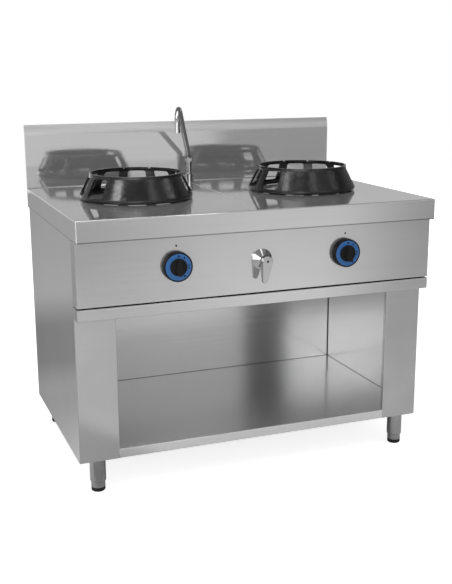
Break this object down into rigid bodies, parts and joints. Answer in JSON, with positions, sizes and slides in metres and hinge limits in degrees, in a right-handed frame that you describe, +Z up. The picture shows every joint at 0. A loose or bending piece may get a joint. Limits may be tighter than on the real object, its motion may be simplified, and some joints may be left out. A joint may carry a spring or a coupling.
{
  "type": "wok range",
  "caption": "Free-standing gas wok range: steel worktop with slotted cast wok rings over recessed burners, swing tap at the splashback, knobs, water lever, open storage bay, adjustable feet.",
  "frame": {"origin": "on the floor, under the middle of the range's overall box", "axes": "+X to the cook's right, +Y from the cook to the wall, +Z up"},
  "size_m": [1.2, 0.82, 1.1712],
  "materials": {
    "steel_top": "satin stainless steel",
    "steel_splash": "satin stainless steel",
    "steel_panel": "satin stainless steel",
    "steel_body": "satin stainless steel",
    "steel_bay": "satin stainless steel",
    "steel_frame": "plain steel",
    "steel_leg": "turned stainless steel",
    "fastener_steel": "zinc plated",
    "foot_pad_black": "moulded, matt",
    "ring_iron": "black enamelled casting",
    "burner_iron": "raw casting",
    "cap_iron": "black enamelled casting",
    "well_steel": "spun stainless steel",
    "valve_brass": "turned brass",
    "stem_steel": "ground steel",
    "sensor_metal": "drawn metal",
    "gas_pipe": "plain steel pipe",
    "water_pipe": "copper pipe",
    "knob_black": "moulded, half matt",
    "dial_blue": "moulded, half matt",
    "tap_chrome": "polished chrome",
    "lever_cap_black": "moulded"
  },
  "bodies": {
    "range": {"worktop": "steel_top", "worktop_stiffeners": "steel_frame", "splashback": "steel_splash", "side_panel_left": "steel_body", "side_panel_right": "steel_body", "side_liners": "steel_bay", "bottom_shelf": "steel_bay", "back_panel": "steel_bay", "burner_floor": "steel_bay", "rear_panel": "steel_body", "cross_beams": "steel_frame", "front_rail": "steel_panel", "control_panel": "steel_panel", "leg_plates": "steel_frame", "leg_bolts": "fastener_steel", "leg_tubes": "steel_leg", "burner_well_left": "well_steel", "burner_well_right": "well_steel", "burner_body_left": "burner_iron", "burner_body_right": "burner_iron", "pilots": "sensor_metal", "thermocouples": "sensor_metal", "gas_manifold": "gas_pipe", "gas_inlet_pipe": "gas_pipe", "gas_feeds": "gas_pipe", "injectors": "valve_brass", "gas_valve_left": "valve_brass", "gas_valve_right": "valve_brass", "water_valve": "tap_chrome", "escutcheon": "tap_chrome", "water_supply_pipe": "water_pipe", "water_feed_pipe": "water_pipe", "tap_column": "tap_chrome", "tap_nut": "tap_chrome"},
    "foot_front_left": {"foot_sleeve_front_left": "steel_leg", "foot_pad_front_left": "foot_pad_black"},
    "foot_front_right": {"foot_sleeve_front_right": "steel_leg", "foot_pad_front_right": "foot_pad_black"},
    "foot_rear_left": {"foot_sleeve_rear_left": "steel_leg", "foot_pad_rear_left": "foot_pad_black"},
    "foot_rear_right": {"foot_sleeve_rear_right": "steel_leg", "foot_pad_rear_right": "foot_pad_black"},
    "ring_left": {"wok_ring_left": "ring_iron"},
    "crown_left": {"burner_crown_left": "burner_iron"},
    "cap_left": {"burner_cap_left": "cap_iron"},
    "push_left": {"stem_sleeve_left": "valve_brass"},
    "knob_left": {"knob_left": "knob_black", "dial_ring_left": "dial_blue", "valve_stem_left": "stem_steel"},
    "ring_right": {"wok_ring_right": "ring_iron"},
    "crown_right": {"burner_crown_right": "burner_iron"},
    "cap_right": {"burner_cap_right": "cap_iron"},
    "push_right": {"stem_sleeve_right": "valve_brass"},
    "knob_right": {"knob_right": "knob_black", "dial_ring_right": "dial_blue", "valve_stem_right": "stem_steel"},
    "water_lever": {"water_lever": "tap_chrome", "lever_cap": "lever_cap_black"},
    "spout": {"tap_spout": "tap_chrome", "tap_aerator": "tap_chrome"}
  },
  "joints": [
    {"name": "foot_front_left_adjust", "type": "slide", "parent": "range", "child": "foot_front_left", "axis": [0, 0, -1], "range_m": [-0.015, 0.025]},
    {"name": "foot_front_right_adjust", "type": "slide", "parent": "range", "child": "foot_front_right", "axis": [0, 0, -1], "range_m": [-0.015, 0.025]},
    {"name": "foot_rear_left_adjust", "type": "slide", "parent": "range", "child": "foot_rear_left", "axis": [0, 0, -1], "range_m": [-0.015, 0.025]},
    {"name": "foot_rear_right_adjust", "type": "slide", "parent": "range", "child": "foot_rear_right", "axis": [0, 0, -1], "range_m": [-0.015, 0.025]},
    {"name": "ring_left_lift", "type": "slide", "parent": "range", "child": "ring_left", "axis": [0, 0, 1], "range_m": [0, 0.08]},
    {"name": "crown_left_lift", "type": "slide", "parent": "range", "child": "crown_left", "axis": [0, 0, 1], "range_m": [0, 0.04]},
    {"name": "cap_left_lift", "type": "slide", "parent": "crown_left", "child": "cap_left", "axis": [0, 0, 1], "range_m": [0, 0.03]},
    {"name": "knob_left_push", "type": "slide", "parent": "range", "child": "push_left", "axis": [0, 1, 0], "range_m": [0, 0.003], "stiffness_N_per_m": 1500, "springref_m": -0.004},
    {"name": "knob_left_turn", "type": "hinge", "parent": "push_left", "child": "knob_left", "pos_m": [-0.289, -0.363, 0.72], "axis": [0, -1, 0], "range_deg": [0, 150]},
    {"name": "ring_right_lift", "type": "slide", "parent": "range", "child": "ring_right", "axis": [0, 0, 1], "range_m": [0, 0.08]},
    {"name": "crown_right_lift", "type": "slide", "parent": "range", "child": "crown_right", "axis": [0, 0, 1], "range_m": [0, 0.04]},
    {"name": "cap_right_lift", "type": "slide", "parent": "crown_right", "child": "cap_right", "axis": [0, 0, 1], "range_m": [0, 0.03]},
    {"name": "knob_right_push", "type": "slide", "parent": "range", "child": "push_right", "axis": [0, 1, 0], "range_m": [0, 0.003], "stiffness_N_per_m": 1500, "springref_m": -0.004},
    {"name": "knob_right_turn", "type": "hinge", "parent": "push_right", "child": "knob_right", "pos_m": [0.283, -0.363, 0.72], "axis": [0, -1, 0], "range_deg": [0, 150]},
    {"name": "water_lever_turn", "type": "hinge", "parent": "range", "child": "water_lever", "pos_m": [-0.008, -0.363, 0.72], "axis": [0, -1, 0], "range_deg": [0, 90]},
    {"name": "spout_swing", "type": "hinge", "parent": "range", "child": "spout", "pos_m": [-0.003, 0.348, 0.97], "axis": [0, 0, 1], "range_deg": [-60, 110]}
  ]
}
